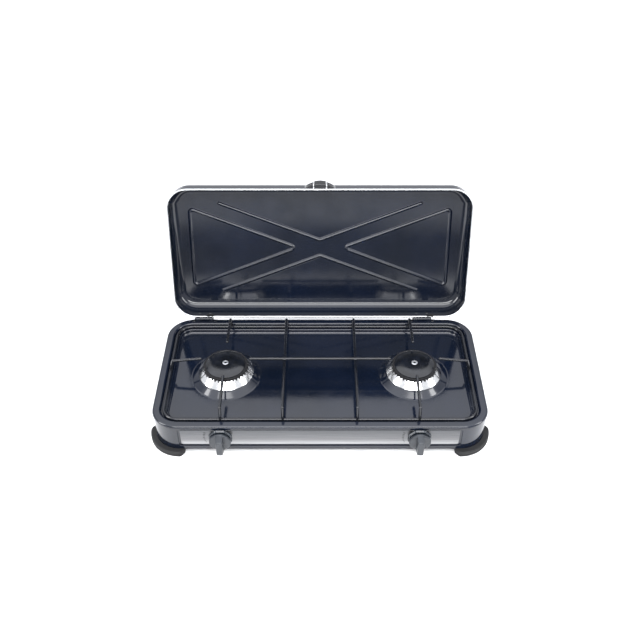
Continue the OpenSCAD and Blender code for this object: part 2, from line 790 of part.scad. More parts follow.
casing();
front_trim();
scale_marks();
hob_tray();
base_straps();
strap_screws();
foot(-1, -1);  // foot_front_left
foot(1, -1);  // foot_front_right
foot(-1, 1);  // foot_rear_left
foot(1, 1);  // foot_rear_right
foot_screws();
grid_ring();
grid_bars();
grid_fingers();
manifold_rail();
supply_tube();
inlet_nipple();
inlet_nut();
pipe_clips();
tap_body(-1);  // tap_body_left
tap_body(1);  // tap_body_right
tap_nut(-1);  // tap_nut_left
tap_nut(1);  // tap_nut_right
tap_plug(-1);  // tap_plug_left
tap_plug(1);  // tap_plug_right
tap_spring(-1);  // tap_spring_left
tap_spring(1);  // tap_spring_right
tap_stem(-1);  // tap_stem_left
tap_stem(1);  // tap_stem_right
knob(-1);  // knob_left
knob(1);  // knob_right
knob_bezel(-1);  // knob_bezel_left
knob_bezel(1);  // knob_bezel_right
injector(-1);  // injector_left
injector(1);  // injector_right
mixer_tube(-1);  // mixer_tube_left
mixer_tube(1);  // mixer_tube_right
burner_cup(-1);  // burner_cup_left
burner_cup(1);  // burner_cup_right
burner_collar(-1);  // burner_collar_left
burner_collar(1);  // burner_collar_right
flame_ring(-1);  // flame_ring_left
flame_ring(1);  // flame_ring_right
burner_cap(-1);  // burner_cap_left
burner_cap(1);  // burner_cap_right
cap_screw(-1);  // cap_screw_left
cap_screw(1);  // cap_screw_right
lid_shell();
lid_handle();
handle_screws();
lid_buffers();
hinge_leaf(hinge_places[0]);  // hinge_leaf_left
hinge_leaf(hinge_places[1]);  // hinge_leaf_right
leaf_rivets();
hinge_bracket(hinge_places[0]);  // hinge_bracket_left
hinge_bracket(hinge_places[1]);  // hinge_bracket_right
bracket_rivets();
hinge_pin(hinge_places[0]);  // hinge_pin_left
hinge_pin(hinge_places[1]);  // hinge_pin_right
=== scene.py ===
"""A two-burner camping stove with its lid open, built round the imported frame.

Lengths are in millimetres until a vertex is made.
"""

import json
import math

import bmesh
import bpy
from mathutils import Matrix, Vector


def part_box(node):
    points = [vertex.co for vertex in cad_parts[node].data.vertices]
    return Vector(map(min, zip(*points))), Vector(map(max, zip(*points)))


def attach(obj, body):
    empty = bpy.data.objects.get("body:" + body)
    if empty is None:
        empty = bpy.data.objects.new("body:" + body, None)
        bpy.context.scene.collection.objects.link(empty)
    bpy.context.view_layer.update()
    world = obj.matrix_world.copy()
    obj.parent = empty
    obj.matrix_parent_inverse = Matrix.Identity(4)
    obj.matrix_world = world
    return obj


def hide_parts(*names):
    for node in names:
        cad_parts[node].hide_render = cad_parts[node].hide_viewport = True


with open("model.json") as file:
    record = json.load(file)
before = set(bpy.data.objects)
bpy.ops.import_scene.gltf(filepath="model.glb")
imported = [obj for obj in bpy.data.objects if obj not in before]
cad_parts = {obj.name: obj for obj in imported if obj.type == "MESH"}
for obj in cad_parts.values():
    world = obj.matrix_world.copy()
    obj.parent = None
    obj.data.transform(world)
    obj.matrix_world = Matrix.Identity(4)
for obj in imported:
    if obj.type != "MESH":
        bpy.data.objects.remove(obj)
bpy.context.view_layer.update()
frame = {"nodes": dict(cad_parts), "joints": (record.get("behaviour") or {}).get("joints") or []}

MM = 0.001


# ---- sizes, from the frame and from the maker's drawing of the same pieces ----


def span(node):
    """A node's lowest and highest corners in millimetres."""
    low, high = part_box(node)
    return Vector(low) / MM, Vector(high) / MM


tray_low, tray_high = span("hob_tray")
trim_low, trim_high = span("front_trim")
collar_low, collar_high = span("burner_collar_right")
cap_low, cap_high = span("burner_cap_right")
knob_low, knob_high = span("knob_right")
bezel_low, bezel_high = span("knob_bezel_right")
ring_low, ring_high = span("grid_ring")
bars_high = span("grid_bars")[1]
fingers_high = span("grid_fingers")[1]

SIDES = {"left": -1, "right": 1}
CORNERS = {"front_left": (-1, -1), "front_right": (1, -1), "rear_left": (-1, 1), "rear_right": (1, 1)}

SHEET = 1.0
BODY_W = tray_high.x - tray_low.x
BODY_D = tray_high.y - tray_low.y
TOP_Z = tray_high.z
CORNER_R = 42.0
FLOOR_Z = tray_low.z + SHEET
LEDGE_Z = TOP_Z - 5.2
LIP_DROP = 3.8
SEAT_Z = collar_low.z
SEAT_R = 45.6
BOSS_R = 56.0
CUP_HOLE_R = 30.0
BURNER_X = (collar_low.x + collar_high.x) / 2
COLLAR_R = (collar_high.x - collar_low.x) / 2
COLLAR_TOP = collar_high.z
FLAME_TOP = span("flame_ring_right")[1].z
CAP_R = (cap_high.x - cap_low.x) / 2
KNOB_Z = (knob_low.z + knob_high.z) / 2
KNOB_R = (knob_high.z - knob_low.z) / 2
WALL_INSET = 1.2
WALL_LOW = span("casing")[0].z
ARCH_Z = 8.5
SHOE_TOP = span("foot_rear_right")[1].z

hinge = next(j for j in frame["joints"] if j["name"] == "lid_hinge")
HINGE = Vector(hinge["pos_m"])
LID_OPEN = math.radians(hinge["range_deg"][1])
LID_W = 498.7
LID_D = 228.4
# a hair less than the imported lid, so that its finer fillet stays inside the same box
LID_H = 37.96
LID_R = 35.0
LID_FILLET = 16.0
LID_Z = TOP_Z + 1
LID_BACK = 116.0
LID_Y = LID_BACK - LID_D / 2
HEM_R = 1.35
HEM_OUT = 0.6


# ---- curves and sections ----


def arc(x, z, r, start, end, steps=8):
    """Points on an arc, from one angle to another in degrees."""
    turns = [math.radians(start + (end - start) * i / steps) for i in range(steps + 1)]
    return [(x + r * math.cos(a), z + r * math.sin(a)) for a in turns]


def filleted(points, radii, steps=7):
    """The line through points with each inner corner rounded to its radius."""
    rounded = [points[0]]
    for before, corner, after, r in zip(points, points[1:-1], points[2:], radii):
        b = Vector(corner)
        to_a = (Vector(before) - b).normalized()
        to_c = (Vector(after) - b).normalized()
        half = to_a.angle(to_c) / 2
        if r <= 0 or half > math.radians(89):
            rounded.append(corner)
            continue
        centre = b + (to_a + to_c).normalized() * r / math.sin(half)
        first = b + to_a * r / math.tan(half) - centre
        last = b + to_c * r / math.tan(half) - centre
        start = math.atan2(first.y, first.x)
        turn = (math.atan2(last.y, last.x) - start + math.pi) % (2 * math.pi) - math.pi
        rounded += arc(centre.x, centre.y, r, math.degrees(start), math.degrees(start + turn), steps)
    return rounded + [points[-1]]


def rounded_ring(width, depth, radius, inset, steps=14, stops=()):
    """Points round a rounded rectangle, drawn inside its outline.

    stops adds points along each straight, at these distances from its ends.
    """
    ring = []
    half_x, half_y = width / 2 - radius, depth / 2 - radius
    for quarter in range(4):
        turn = Matrix.Rotation(quarter * math.pi / 2, 2)
        centre = Vector((half_x, half_y) if quarter % 2 == 0 else (half_y, half_x))
        straight = 2 * centre.x
        ring += [turn @ (centre + Vector(p)) for p in arc(0, 0, radius - inset, 0, 90, steps)]
        along = sorted({s for stop in stops for s in (stop, straight - stop)})
        ring += [turn @ Vector((centre.x - s, centre.y + radius - inset)) for s in along]
    return ring


def new_ring(bm, points):
    """Vertices at points in millimetres."""
    return [bm.verts.new(Vector(p) * MM) for p in points]


def bridge(bm, one, other, closed=True, skip=()):
    """Quads between two rings of as many points."""
    count = len(one)
    for i in range(count if closed else count - 1):
        if i in skip:
            continue
        j = (i + 1) % count
        corners = [one[i], one[j], other[j], other[i]]
        if len(set(corners)) > 2:
            bm.faces.new(corners)


def loft(bm, rings, closed=True):
    """Skins a list of rings of points, and gives back their vertices."""
    made = [new_ring(bm, ring) for ring in rings]
    for one, other in zip(made, made[1:]):
        bridge(bm, one, other, closed)
    return made


def fill(bm, *loops):
    """Fills the flat region inside the first loop and outside the others."""
    edges = []
    for loop in loops:
        for one, other in zip(loop, loop[1:] + loop[:1]):
            edges.append(bm.edges.get((one, other)) or bm.edges.new((one, other)))
    bmesh.ops.triangle_fill(bm, edges=edges, use_beauty=True)


def turned(bm, profile, centre=(0, 0, 0), steps=96, axis="Z"):
    """Turns a profile of radius and height about an upright axis, or one that points back.

    Gives back the rings of vertices.
    """
    place = Matrix.Translation(Vector(centre))
    if axis == "Y":
        place = place @ Matrix.Rotation(-math.pi / 2, 4, "X")
    angles = [2 * math.pi * i / steps for i in range(steps)]
    made = []
    for r, h in profile:
        if r < 1e-6:
            made.append([bm.verts.new(place @ Vector((0, 0, h)) * MM)] * steps)
        else:
            points = [place @ Vector((r * math.cos(a), r * math.sin(a), h)) for a in angles]
            made.append(new_ring(bm, points))
    for one, other in zip(made, made[1:]):
        for i in range(steps):
            j = (i + 1) % steps
            corners = list(dict.fromkeys([one[i], one[j], other[j], other[i]]))
            if len(corners) > 2:
                bm.faces.new(corners)
    return made


# a cut wire's end: how round it is, and the angles of its dome's rings in radians
WIRE_END_BULGE = 0.8
WIRE_END_ANGLES = (0.5, 1.0, 1.4)


def tube(bm, path, radius, sides=14, closed=False, round_ends=False):
    """A wire of round section along a path. round_ends domes both ends."""
    path = [Vector(p) for p in path]
    radii = [radius] * len(path)
    if round_ends:
        for end, inner in ((0, 1), (-1, -2)):
            back = (path[inner] - path[end]).normalized()
            dome = [
                (path[end] - back * radius * math.sin(a) * WIRE_END_BULGE, radius * math.cos(a))
                for a in WIRE_END_ANGLES
            ]
            if end == 0:
                path = [p for p, _ in reversed(dome)] + path
                radii = [r for _, r in reversed(dome)] + radii
            else:
                path += [p for p, _ in dome]
                radii += [r for _, r in dome]
    count = len(path)
    rings = []
    side = None
    for i, p in enumerate(path):
        before = path[i - 1] if i or closed else p
        after = path[(i + 1) % count] if i + 1 < count or closed else p
        way = (after - before).normalized()
        if side is None:
            side = way.cross(Vector((0.13, 0.27, 0.95))).normalized()
        side = (side - way * side.dot(way)).normalized()
        up = way.cross(side)
        steps = [2 * math.pi * k / sides for k in range(sides)]
        rings.append([p + (side * math.cos(a) + up * math.sin(a)) * radii[i] for a in steps])
    made = loft(bm, rings)
    if closed:
        # the first ring is turned to meet the last, so that the seam isn't twisted
        last, first = made[-1], made[0]
        shift = min(range(sides), key=lambda k: (first[k].co - last[0].co).length)
        bridge(bm, last, first[shift:] + first[:shift])
    else:
        bm.faces.new(made[0])
        bm.faces.new(list(reversed(made[-1])))


def bend_path(points, radius, steps=8):
    """A path in space with each inner corner bent to the radius."""
    path = [Vector(points[0])]
    for before, corner, after in zip(points, points[1:], points[2:]):
        b = Vector(corner)
        to_a = (Vector(before) - b).normalized()
        to_c = (Vector(after) - b).normalized()
        half = to_a.angle(to_c) / 2
        centre = b + (to_a + to_c).normalized() * radius / math.sin(half)
        first = b + to_a * radius / math.tan(half) - centre
        last = b + to_c * radius / math.tan(half) - centre
        for i in range(steps + 1):
            path.append(centre + first.slerp(last, i / steps))
    return path + [Vector(points[-1])]


def nugget(bm, centre, radii):
    """A squashed ball of weld."""
    made = bmesh.ops.create_uvsphere(bm, u_segments=14, v_segments=9, radius=MM)
    for v in made["verts"]:
        v.co = Vector((v.co[k] * radii[k] for k in range(3))) + Vector(centre) * MM


def block(bm, low, high):
    """A box between two corners, to be bevelled."""
    corners = bmesh.ops.create_cube(bm, size=1)["verts"]
    low, high = Vector(low) * MM, Vector(high) * MM
    for v in corners:
        v.co = Vector((low[k] + (v.co[k] + 0.5) * (high[k] - low[k]) for k in range(3)))


def plate_outline(x, z_low, z_high, r, y, steps=6):
    """The outline of a round-cornered plate that faces the front."""
    middle = (z_low + z_high) / 2
    flat = rounded_ring(2 * x, z_high - z_low, r, 0, steps)
    return [Vector((p.x, y, p.y + middle)) for p in flat]


WELD_M = 2e-6


def put(name, bm, material, body, nodes=(), sheet=0, bevel=0, up=None, sharp=40):
    """Makes a piece from its mesh: its finish, its body and the nodes that it stands for.

    sheet gives an open skin its thickness, behind the side that up points out of.
    """
    bmesh.ops.remove_doubles(bm, verts=bm.verts, dist=WELD_M)
    bmesh.ops.recalc_face_normals(bm, faces=bm.faces)
    if up is not None:
        facing = sum((f.calc_area() * f.normal.dot(Vector(up)) for f in bm.faces))
        if facing < 0:
            bmesh.ops.reverse_faces(bm, faces=bm.faces)
    mesh = bpy.data.meshes.new(name)
    bm.to_mesh(mesh)
    bm.free()
    mesh.polygons.foreach_set("use_smooth", [True] * len(mesh.polygons))
    mesh.set_sharp_from_angle(angle=math.radians(sharp))
    mesh.materials.append(material)
    piece = bpy.data.objects.new(name, mesh)
    bpy.context.scene.collection.objects.link(piece)
    if sheet:
        skin = piece.modifiers.new("sheet", "SOLIDIFY")
        skin.thickness = sheet * MM
        skin.offset = -1
        skin.use_even_offset = True
    if bevel:
        edge = piece.modifiers.new("rounded", "BEVEL")
        edge.width = bevel * MM
        edge.segments = 3
        edge.limit_method = "ANGLE"
        edge.angle_limit = math.radians(sharp)
    even = piece.modifiers.new("flat faces stay flat", "WEIGHTED_NORMAL")
    even.keep_sharp = True
    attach(piece, body)
    if nodes:
        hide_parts(*nodes)
    return piece


def swing_open(bm):
    """Turns a lid piece, made as it lies shut, back about the hinge to where it rests."""
    hinge_at = Matrix.Translation(HINGE)
    bm.transform(hinge_at @ Matrix.Rotation(-LID_OPEN, 4, "X") @ hinge_at.inverted())


# ---- materials ----


def linear(colour):
    """An sRGB hex colour as linear light."""
    parts = [int(colour[i : i + 2], 16) / 255 for i in (1, 3, 5)]
    return [c / 12.92 if c <= 0.04045 else ((c + 0.055) / 1.055) ** 2.4 for c in parts] + [1]


def add(tree, kind, inputs=None, **settings):
    """Adds a node with its settings. An input that is given a socket is linked to it."""
    node = tree.nodes.new(kind)
    for name, value in settings.items():
        setattr(node, name, value)
    for name, value in (inputs or {}).items():
        if isinstance(value, bpy.types.NodeSocket):
            tree.links.new(value, node.inputs[name])
        else:
            node.inputs[name].default_value = value
    return node


def finish(name, metallic=0.0, roughness=0.5, ior=1.5, **shader_values):
    """A material with its shader and the piece's own coordinates in metres."""
    material = bpy.data.materials.new(name)
    material.use_nodes = True
    tree = material.node_tree
    shader = tree.nodes["Principled BSDF"]
    values = {"Metallic": metallic, "Roughness": roughness, "IOR": ior, **shader_values}
    for socket, value in values.items():
        shader.inputs[socket].default_value = value
    place = add(tree, "ShaderNodeTexCoord").outputs["Object"]
    return material, tree, shader, place


def noise(tree, place, size_mm, detail=2.0, stretch=(1, 1, 1)):
    """Noise whose blotches are about size_mm across, stretched along an axis."""
    scaled = add(tree, "ShaderNodeMapping", {"Vector": place, "Scale": [1 / s for s in stretch]})
    pattern = add(
        tree,
        "ShaderNodeTexNoise",
        {"Vector": scaled.outputs["Vector"], "Scale": 1 / (size_mm * MM), "Detail": detail},
    )
    return pattern.outputs["Fac"]


def between(tree, amount, low, high, clamp_low=0.3, clamp_high=0.7):
    """A number between low and high as the pattern goes from its dark to its light."""
    ramp = add(
        tree,
        "ShaderNodeMapRange",
        {"Value": amount, "From Min": clamp_low, "From Max": clamp_high, "To Min": low, "To Max": high},
    )
    return ramp.outputs["Result"]


def shades(tree, amount, dark, light, at=(0.35, 0.65)):
    """A colour between two as the pattern goes from its dark to its light."""
    ramp = add(tree, "ShaderNodeValToRGB", {"Fac": amount})
    for stop, where, colour in zip(ramp.color_ramp.elements, at, (dark, light)):
        stop.position = where
        stop.color = linear(colour)
    return ramp.outputs["Color"]


def roughen(tree, shader, height, depth_mm, strength=1.0):
    """Presses a pattern into the surface, depth_mm deep."""
    values = {"Height": height, "Distance": depth_mm * MM, "Strength": strength}
    bump = add(tree, "ShaderNodeBump", values)
    tree.links.new(bump.outputs["Normal"], shader.inputs["Normal"])


def colour(tree, shader, source):
    """Gives the shader its colour from a pattern."""
    tree.links.new(source, shader.inputs["Base Color"])


def vitreous_enamel():
    # glass fused to pressed steel: deep, wet gloss, faint orange peel from the firing, slow drift
    made, tree, shader, place = finish("vitreous_enamel_anthracite", roughness=0.09, ior=1.56)
    colour(tree, shader, shades(tree, noise(tree, place, 90), "#080e19", "#0b1220"))
    peel = noise(tree, place, 2.6, 1.0)
    roughen(tree, shader, peel, 0.008, 0.2)
    haze = between(tree, noise(tree, place, 35, 4.0), 0.07, 0.13)
    tree.links.new(haze, shader.inputs["Roughness"])
    return made


def black_enamel(name, roughness):
    # dipped and fired black enamel: gloss over slightly wavy metal, softened where it has been wiped
    made, tree, shader, place = finish(name, roughness=roughness, ior=1.52)
    colour(tree, shader, shades(tree, noise(tree, place, 14), "#090b0f", "#10131a"))
    roughen(tree, shader, noise(tree, place, 2.2, 1.0), 0.012, 0.3)
    wiped = between(tree, noise(tree, place, 9, 3.0), roughness * 0.8, roughness * 1.5)
    tree.links.new(wiped, shader.inputs["Roughness"])
    return made


# heights in mm over which the strip's painted shade goes from light at its foot to dark under the lip
PAINTED_SHADE_Z = (19.5, 49.5)


def brushed_stainless():
    # rolled stainless strip, brushed along its length: long fine scratches that smear highlights upright
    made, tree, shader, place = finish("brushed_stainless_strip", metallic=1.0, roughness=0.3)
    # the real scratches are 0.05 mm apart and are drawn at 0.4 mm, so that they show
    grain = noise(tree, place, 0.4, 3.0, stretch=(160, 1, 1))
    up = add(tree, "ShaderNodeSeparateXYZ", {"Vector": place}).outputs["Z"]
    # painted shade and reflection: the strip's colour is light at its lower edge and darker up towards the
    # lip above
    low, high = (z * MM for z in PAINTED_SHADE_Z)
    painted_shade_ramp = add(tree, "ShaderNodeValToRGB", {"Fac": between(tree, up, 0, 1, low, high)})
    stops = painted_shade_ramp.color_ramp.elements
    stops[0].color = linear("#c2c2c2")
    stops[1].color = linear("#67686a")
    stops.new(0.35).color = linear("#838384")
    both = add(tree, "ShaderNodeMix", {0: 1.0}, data_type="RGBA", blend_type="MULTIPLY")
    tree.links.new(painted_shade_ramp.outputs["Color"], both.inputs["A"])
    tree.links.new(shades(tree, grain, "#d2d3d4", "#f2f2f3"), both.inputs["B"])
    colour(tree, shader, both.outputs["Result"])
    tree.links.new(between(tree, grain, 0.24, 0.38), shader.inputs["Roughness"])
    roughen(tree, shader, grain, 0.01, 0.6)
    return made


def spun_polish():
    # pressed steel, polished on a spindle: mirror-bright with faint hairlines round its axis
    made, tree, shader, place = finish("polished_steel_collar", metallic=1.0, roughness=0.14)
    parts = add(tree, "ShaderNodeSeparateXYZ", {"Vector": place})
    # hairlines follow height up the cone, one each 0.5 mm
    lines = add(tree, "ShaderNodeCombineXYZ", {"Z": parts.outputs["Z"]})
    hair = noise(tree, lines.outputs["Vector"], 0.5, 2.0)
    smudge = noise(tree, place, 12, 3.0)
    colour(tree, shader, shades(tree, smudge, "#e2e3e4", "#f2f2f2"))
    tree.links.new(between(tree, hair, 0.1, 0.22), shader.inputs["Roughness"])
    roughen(tree, shader, hair, 0.01, 0.4)
    return made


def painted_highlight_metal():
    # painted highlight: the lid's rolled edge is made bright, mirror-like steel with fine scratches along
    # it, so that it shows as the highlight line along the edge
    made, tree, shader, place = finish("rolled_edge_painted_highlight", metallic=1.0, roughness=0.16)
    wear = noise(tree, place, 3, 4.0)
    colour(tree, shader, shades(tree, wear, "#d6d8da", "#eeeff0"))
    tree.links.new(between(tree, wear, 0.12, 0.26), shader.inputs["Roughness"])
    return made


def shade_dark_casting():
    # die-cast aluminium coloured nearly black as painted shade for its place under the cap, with a dull
    # metallic skin
    made, tree, shader, place = finish("die_casting_painted_shade", metallic=0.4, roughness=0.55)
    shade_mottle = noise(tree, place, 2.0, 4.0)
    colour(tree, shader, shades(tree, shade_mottle, "#0b0b0d", "#1c1c1f"))
    roughen(tree, shader, noise(tree, place, 0.7, 3.0), 0.04, 0.6)
    return made


def zinc_plate():
    # bright zinc over cold-rolled steel: soft metallic sheen with cloudy passivation
    made, tree, shader, place = finish("bright_zinc_plate", metallic=1.0, roughness=0.32)
    clouds = noise(tree, place, 6, 4.0)
    colour(tree, shader, shades(tree, clouds, "#a9acb0", "#c9cbcd"))
    tree.links.new(between(tree, clouds, 0.25, 0.42), shader.inputs["Roughness"])
    roughen(tree, shader, noise(tree, place, 0.5, 2.0), 0.01, 0.4)
    return made


def turned_brass():
    # free-cutting brass, turned: warm yellow with rings from the tool and a dull film
    made, tree, shader, place = finish("turned_brass", metallic=1.0, roughness=0.3)
    parts = add(tree, "ShaderNodeSeparateXYZ", {"Vector": place})
    along = add(tree, "ShaderNodeCombineXYZ", {"Y": parts.outputs["Y"]})
    rings = noise(tree, along.outputs["Vector"], 0.4, 1.0)
    colour(tree, shader, shades(tree, noise(tree, place, 5, 3.0), "#a8843f", "#d0ad62"))
    roughen(tree, shader, rings, 0.02, 0.5)
    return made


def spring_wire():
    # cold-drawn spring steel, oiled: dark grey metal with scratches along the wire
    made, tree, shader, place = finish("drawn_spring_wire", metallic=1.0, roughness=0.35)
    colour(tree, shader, shades(tree, noise(tree, place, 0.8, 3.0), "#6f7276", "#94979b"))
    return made


def phenolic(name, dark, light, roughness, texture_mm):
    # compression-moulded phenolic: dense dark plastic, its sheen broken by the mould's spark texture
    made, tree, shader, place = finish(name, roughness=roughness, ior=1.55)
    grain = noise(tree, place, texture_mm, 3.0)
    colour(tree, shader, shades(tree, noise(tree, place, 8, 3.0), dark, light))
    tree.links.new(between(tree, grain, roughness * 0.85, roughness * 1.25), shader.inputs["Roughness"])
    roughen(tree, shader, grain, 0.03, 0.5)
    return made


def moulded_rubber():
    # black nitrile rubber: matt, with a dusty bloom and a leathery mould grain
    made, tree, shader, place = finish("moulded_rubber", roughness=0.72, ior=1.5)
    bloom = noise(tree, place, 7, 5.0)
    colour(tree, shader, shades(tree, bloom, "#080809", "#101012"))
    roughen(tree, shader, noise(tree, place, 0.8, 3.0), 0.06, 0.7)
    return made


def screen_ink():
    # screen-printed ink on steel: flat black with the mesh's faint unevenness
    made, tree, shader, place = finish("screen_printed_ink", roughness=0.55, ior=1.5)
    colour(tree, shader, shades(tree, noise(tree, place, 0.6, 2.0), "#08090a", "#131416"))
    return made


ENAMEL = vitreous_enamel()
WIRE = black_enamel("black_enamel_wire", 0.13)
CAP = black_enamel("black_enamel_cap", 0.13)
STAINLESS = brushed_stainless()
POLISH = spun_polish()
HEM = painted_highlight_metal()
SHADE_DARK_CASTING = shade_dark_casting()
ZINC = zinc_plate()
BRASS = turned_brass()
SPRING = spring_wire()
KNOB = phenolic("phenolic_slate", "#1c2026", "#24292f", 0.36, 0.9)
BEZEL = phenolic("phenolic_slate_gloss", "#1a1f25", "#242a31", 0.2, 1.4)
HANDLE = phenolic("phenolic_black_gloss", "#111214", "#1b1c1f", 0.16, 1.6)
RUBBER = moulded_rubber()
INK = screen_ink()


# ---- hob tray ----


def tray_section():
    """Inset and height of the tray's upper face, from its lip to the well's floor."""
    points = [
        (0, TOP_Z - LIP_DROP),
        (0, TOP_Z),
        (13, TOP_Z),
        (13, LEDGE_Z),
        (22.5, LEDGE_Z),
        (22.5, FLOOR_Z),
        (28, FLOOR_Z),
    ]
    return filleted(points, [3.5, 3, 1.5, 2, 4], 9)


def boss_section():
    """Radius and height of the raised seat round a burner, from its foot in to the cup's hole."""
    points = [(BOSS_R + 3, FLOOR_Z), (BOSS_R, FLOOR_Z), (SEAT_R, SEAT_Z), (CUP_HOLE_R, SEAT_Z)]
    return filleted(points, [4, 2.5], 6)


def make_hob_tray():
    """The pressed tray, with a raised seat for each burner."""
    bm = bmesh.new()
    rings = [[(*p, z) for p in rounded_ring(BODY_W, BODY_D, CORNER_R, u)] for u, z in tray_section()]
    rim = loft(bm, rings)[-1]
    feet = [turned(bm, boss_section(), (s * BURNER_X, 0, 0), 96)[0] for s in SIDES.values()]
    fill(bm, rim, *feet)
    up = (0, 0, 1)
    put("hob_tray_enamelled", bm, ENAMEL, "root", ["hob_tray"], sheet=SHEET, up=up, sharp=50)


# ---- casing ----

PANEL_X = 217.5
PANEL_Z = (15.5, 53.0)
PANEL_R = 3
PANEL_DEPTH = 1.5
# inset and depth of each step from the wall's face to the recess's floor
PANEL_STEPS = ((0, 0), (0.15, 0.25), (0.2, PANEL_DEPTH - 0.2), (0.4, PANEL_DEPTH))
STEM_HOLE_R = 7.5
# the arch starts this far past a corner's curve, along the front and along a side
ARCH_START = (4, 8)
ARCH_RUN = 8
CURL_DROP = 0.4
SHOULDER_DROP = 1.2


def wall_ring(inset):
    """The wall's outline, with close points near the corners where its lower edge rises."""
    stops = [4, 8, 10, 12, 14, 16, 18, 20, 22, 26]
    return rounded_ring(BODY_W, BODY_D, CORNER_R, inset, 12, stops)


def wall_foot(p):
    """Height of the wall's lower edge: raised between the feet, and down to their channels."""
    along = max(min(BODY_W / 2 - CORNER_R - ARCH_START[0] - abs(p.x), ARCH_RUN), 0) / ARCH_RUN
    across = max(min(BODY_D / 2 - CORNER_R - ARCH_START[1] - abs(p.y), ARCH_RUN), 0) / ARCH_RUN
    rise = max(along, across)
    return WALL_LOW + (ARCH_Z - WALL_LOW) * math.sin(rise * math.pi / 2)


def stem_hole(bm, sign, y):
    """The rim of the hole that a tap's stem comes through."""
    circle = arc(0, 0, STEM_HOLE_R, 0, 345, 23)
    return new_ring(bm, [(sign * BURNER_X + x, y, KNOB_Z + z) for x, z in circle])


def make_casing():
    """The wrapped wall, its shoulder under the tray's lip and the recess for the trim."""
    bm = bmesh.new()
    shelf = TOP_Z - SHOULDER_DROP
    shoulder = filleted([(9, shelf), (WALL_INSET, shelf), (WALL_INSET, TOP_Z - 5)], [2.5], 5)
    rings = [[(*p, z) for p in wall_ring(u)] for u, z in shoulder]
    for curl, drop in ((0, 0), (0.4, CURL_DROP), (9, CURL_DROP)):
        rings.append([(*p, wall_foot(p) - drop) for p in wall_ring(WALL_INSET + curl)])
    made = [new_ring(bm, r) for r in rings]
    wall = len(shoulder) - 1
    # the front straight is left out of the wall and filled round the trim's recess
    front_y = -BODY_D / 2 + WALL_INSET
    top, foot = made[wall], made[wall + 1]
    front = [i for i, v in enumerate(top) if abs(v.co.y / MM - front_y) < 0.01]
    start = next(i for i in front if (i - 1) % len(top) not in front)
    front = [(start + k) % len(top) for k in range(len(front))]
    for n, (one, other) in enumerate(zip(made, made[1:])):
        bridge(bm, one, other, skip=front[:-1] if n == wall else ())
    edge = [top[i] for i in front] + [foot[i] for i in reversed(front)]
    low, high = PANEL_Z
    step = [
        plate_outline(PANEL_X - d, low + d, high - d, PANEL_R, front_y + y, 6)
        for d, y in PANEL_STEPS
    ]
    recess = loft(bm, step)
    fill(bm, edge, recess[0])
    holes = [stem_hole(bm, s, front_y + PANEL_DEPTH) for s in SIDES.values()]
    fill(bm, recess[-1], *holes)
    put("casing_enamelled", bm, ENAMEL, "root", ["casing"], sheet=0.9, sharp=50)


TRIM_R = 2


def make_front_trim():
    """The bright strip, slightly crowned, with turned-in edges."""
    bm = bmesh.new()
    x, low, high = trim_high.x, trim_low.z, trim_high.z
    front, back = trim_low.y, trim_high.y
    steps = ((0, back), (0, front + 0.35), (0.35, front + 0.05), (0.9, front))
    made = loft(bm, [plate_outline(x - d, low + d, high - d, TRIM_R, y) for d, y in steps])
    holes = []
    for s in SIDES.values():
        rims = [stem_hole(bm, s, y) for y in (front, back)]
        bridge(bm, *rims)
        holes.append(rims)
    fill(bm, made[-1], *[rims[0] for rims in holes])
    fill(bm, made[0], *[rims[1] for rims in holes])
    put("front_trim_strip", bm, STAINLESS, "root", ["front_trim"])


# ---- feet ----

FOOT_LEGS = (8.0, 10.0)
# shares of a leg at which a shoe is cut, from its end to near the corner's curve
LEG_CUTS = (1.0, 0.93, 0.8, 0.62, 0.4, 0.15)
SHOE_BACK = CORNER_R - 15
SHOE_WELT = 0.6
SHOE_BULGE = 7.4
GROOVE = 0.8
CHANNEL_Z = 4


def shoe_section(reach):
    """Distance from the corner's centre and height, round one cut of a shoe.

    reach goes from 0 at a shoe's end to 1 where it stands out in full.
    """
    wall = CORNER_R - WALL_INSET
    out = CORNER_R + SHOE_WELT + SHOE_BULGE * reach
    return [
        (SHOE_BACK, 0),
        (out - 1.2, 0),
        (out, 1.2),
        (out, 3.6),
        (out - GROOVE * reach, 4.4),
        (out - GROOVE * reach, 5.0),
        (out, 5.8),
        (out, 8.2),
        (out - 1.6, SHOE_TOP),
        (wall + 0.3, SHOE_TOP),
        (wall + 0.15, CHANNEL_Z),
        (wall - 1.15, CHANNEL_Z),
        (wall - 1.2, SHOE_TOP),
        (SHOE_BACK, SHOE_TOP),
    ]


def make_foot(name, sx, sy):
    """A corner shoe with a grooved outer face and a channel that takes the casing's edge."""
    bm = bmesh.new()
    stations = []
    long, short = FOOT_LEGS
    for t in LEG_CUTS:
        stations.append((Vector((-long * t, 0)), Vector((0, 1)), math.sin((1 - t) * math.pi / 2)))
    for x, y in arc(0, 0, 1, 90, 0, 22):
        stations.append((Vector((0, 0)), Vector((x, y)), 1.0))
    for t in reversed(LEG_CUTS):
        stations.append((Vector((0, -short * t)), Vector((1, 0)), math.sin((1 - t) * math.pi / 2)))
    centre = Vector((BODY_W / 2 - CORNER_R, BODY_D / 2 - CORNER_R))
    rings = []
    for base, out, reach in stations:
        flat = [(centre + base + out * r, z) for r, z in shoe_section(reach)]
        rings.append([(sx * p.x, sy * p.y, z) for p, z in flat])
    made = loft(bm, rings)
    bm.faces.new(made[0])
    bm.faces.new(list(reversed(made[-1])))
    put(f"{name}_shoe", bm, RUBBER, "root", [name], bevel=0.35, sharp=28)


# ---- pan grid ----


BAR_R = 2.3
BAR_X = 57.0
# a finger stops this far from its burner's middle
FINGER_TIP = 38.0
WIRE_BEND = 6
WELD_SINK = 0.4
WELD_RISE = 0.9
BAR_WELD = (3.0, 2.3, 2.1)
CROSS_WELD = (3.3, 3.3, 2.1)
FINGER_WELD = (2.7, 2.7, 2.1)


